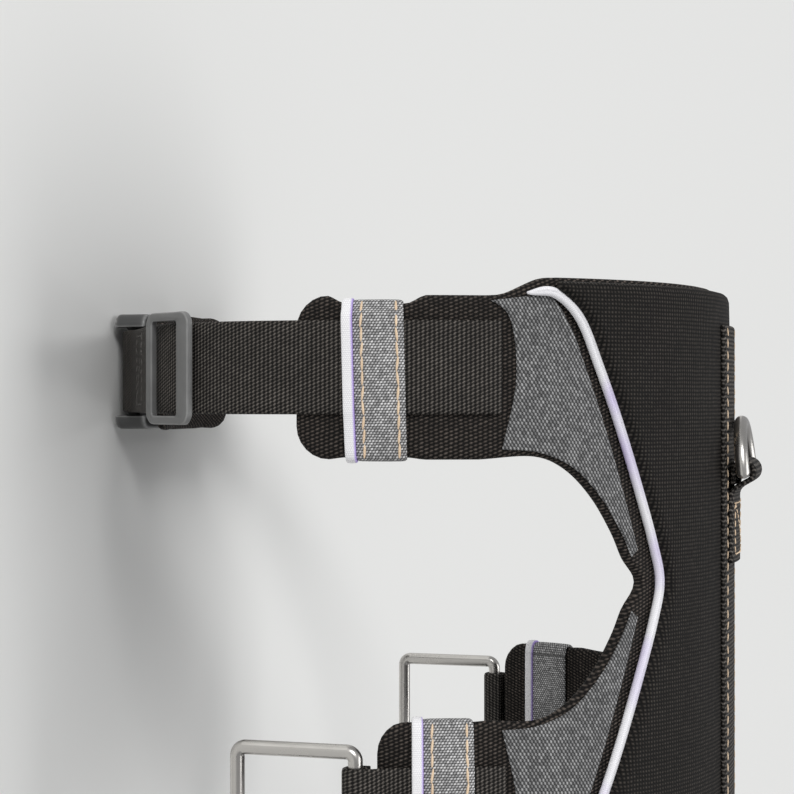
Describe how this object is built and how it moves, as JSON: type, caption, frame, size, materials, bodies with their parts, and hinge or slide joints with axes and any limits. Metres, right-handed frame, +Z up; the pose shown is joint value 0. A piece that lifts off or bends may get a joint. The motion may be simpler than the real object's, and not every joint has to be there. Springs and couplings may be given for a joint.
{
  "type": "dog walking harness",
  "caption": "Padded X-back dog walking harness with ribbed webbing girth, tri-glide sliders, side-release belly buckle, breast band and D-rings",
  "frame": {"origin": "centre of the dog's torso, on its long axis, in the plane of the girth strap", "axes": "+X towards the dog's head, +Y to the dog's left, +Z up"},
  "size_m": [0.2481, 0.186, 0.1967],
  "materials": {
    "mesh_liner": "black spacer mesh with small round cells",
    "grey_weave": "grey woven outer cloth",
    "reflective": "white retro-reflective piping cloth",
    "black_webbing": "black ribbed nylon webbing",
    "grey_ribbon": "grey grosgrain ribbon",
    "grey_plastic": "dark grey moulded acetal, satin",
    "steel": "welded steel wire, satin nickel"
  },
  "bodies": {
    "harness": {"back_liner": "mesh_liner", "back_core": "mesh_liner", "piping_right": "reflective", "piping_left": "reflective", "overlay_rear_right": "grey_weave", "overlay_rear_left": "grey_weave", "overlay_front_right": "grey_weave", "overlay_front_left": "grey_weave", "spine_webbing": "black_webbing", "d_ring_loop": "black_webbing", "girth_webbing_right": "black_webbing", "girth_webbing_left": "black_webbing", "girth_loop_right": "black_webbing", "girth_tail_right": "black_webbing", "girth_tail_left": "black_webbing", "keeper_rear_right": "grey_ribbon", "keeper_rear_left": "grey_ribbon", "keeper_rear_edge_right": "reflective", "keeper_rear_edge_left": "reflective", "keeper_front_right": "grey_ribbon", "keeper_front_left": "grey_ribbon", "keeper_front_edge_right": "reflective", "keeper_front_edge_left": "reflective", "shoulder_webbing_right": "black_webbing", "shoulder_webbing_left": "black_webbing", "square_ring_right": "steel", "square_ring_left": "steel", "breast_strap_right": "black_webbing", "breast_strap_left": "black_webbing", "breast_tail_right": "black_webbing", "breast_tail_left": "black_webbing", "breast_liner": "mesh_liner", "breast_cover": "grey_weave", "breast_webbing": "black_webbing", "breast_piping_upper": "reflective", "breast_piping_lower": "reflective", "breast_ring_loop": "black_webbing", "buckle_female": "grey_plastic", "buckle_pad": "mesh_liner"},
    "buckle_male": {"buckle_male": "grey_plastic", "buckle_prongs": "grey_plastic", "girth_loop_left": "black_webbing"},
    "d_ring_back": {"d_ring_back": "steel"},
    "d_ring_front": {"d_ring_front": "steel"},
    "girth_slider_right": {"girth_slider_right": "grey_plastic"},
    "breast_slider_right": {"breast_slider_right": "grey_plastic"},
    "girth_slider_left": {"girth_slider_left": "grey_plastic"},
    "breast_slider_left": {"breast_slider_left": "grey_plastic"}
  },
  "joints": [
    {"name": "girth_adjust_right", "type": "hinge", "parent": "harness", "child": "girth_slider_right", "pos_m": [0, -0.03538, -0.02263], "axis": [1, 0, 0], "range_deg": [-21, 9], "deforming": ["girth_tail_right"]},
    {"name": "breast_adjust_right", "type": "hinge", "parent": "harness", "child": "breast_slider_right", "pos_m": [0.14675, -0.02943, -0.01675], "axis": [0, 0, 1], "range_deg": [-9, 10], "deforming": ["breast_tail_right"]},
    {"name": "girth_adjust_left", "type": "hinge", "parent": "harness", "child": "girth_slider_left", "pos_m": [0, 0.03538, -0.02263], "axis": [-1, 0, 0], "range_deg": [-21, 9], "deforming": ["girth_tail_left"]},
    {"name": "breast_adjust_left", "type": "hinge", "parent": "harness", "child": "breast_slider_left", "pos_m": [0.14675, 0.02943, -0.01675], "axis": [0, 0, -1], "range_deg": [-9, 10], "deforming": ["breast_tail_left"]},
    {"name": "buckle_release", "type": "slide", "parent": "harness", "child": "buckle_male", "axis": [0, 1, 0], "range_m": [0, 0.026], "deforming": ["buckle_prongs", "girth_loop_left"]},
    {"name": "d_ring_back_swing", "type": "hinge", "parent": "harness", "child": "d_ring_back", "pos_m": [0.03, 0, 0.09651], "axis": [0, 1, 0], "range_deg": [0, 168]},
    {"name": "d_ring_front_swing", "type": "hinge", "parent": "harness", "child": "d_ring_front", "pos_m": [0.21947, 0, -0.01675], "axis": [0, -1, 0], "range_deg": [0, 150]}
  ]
}
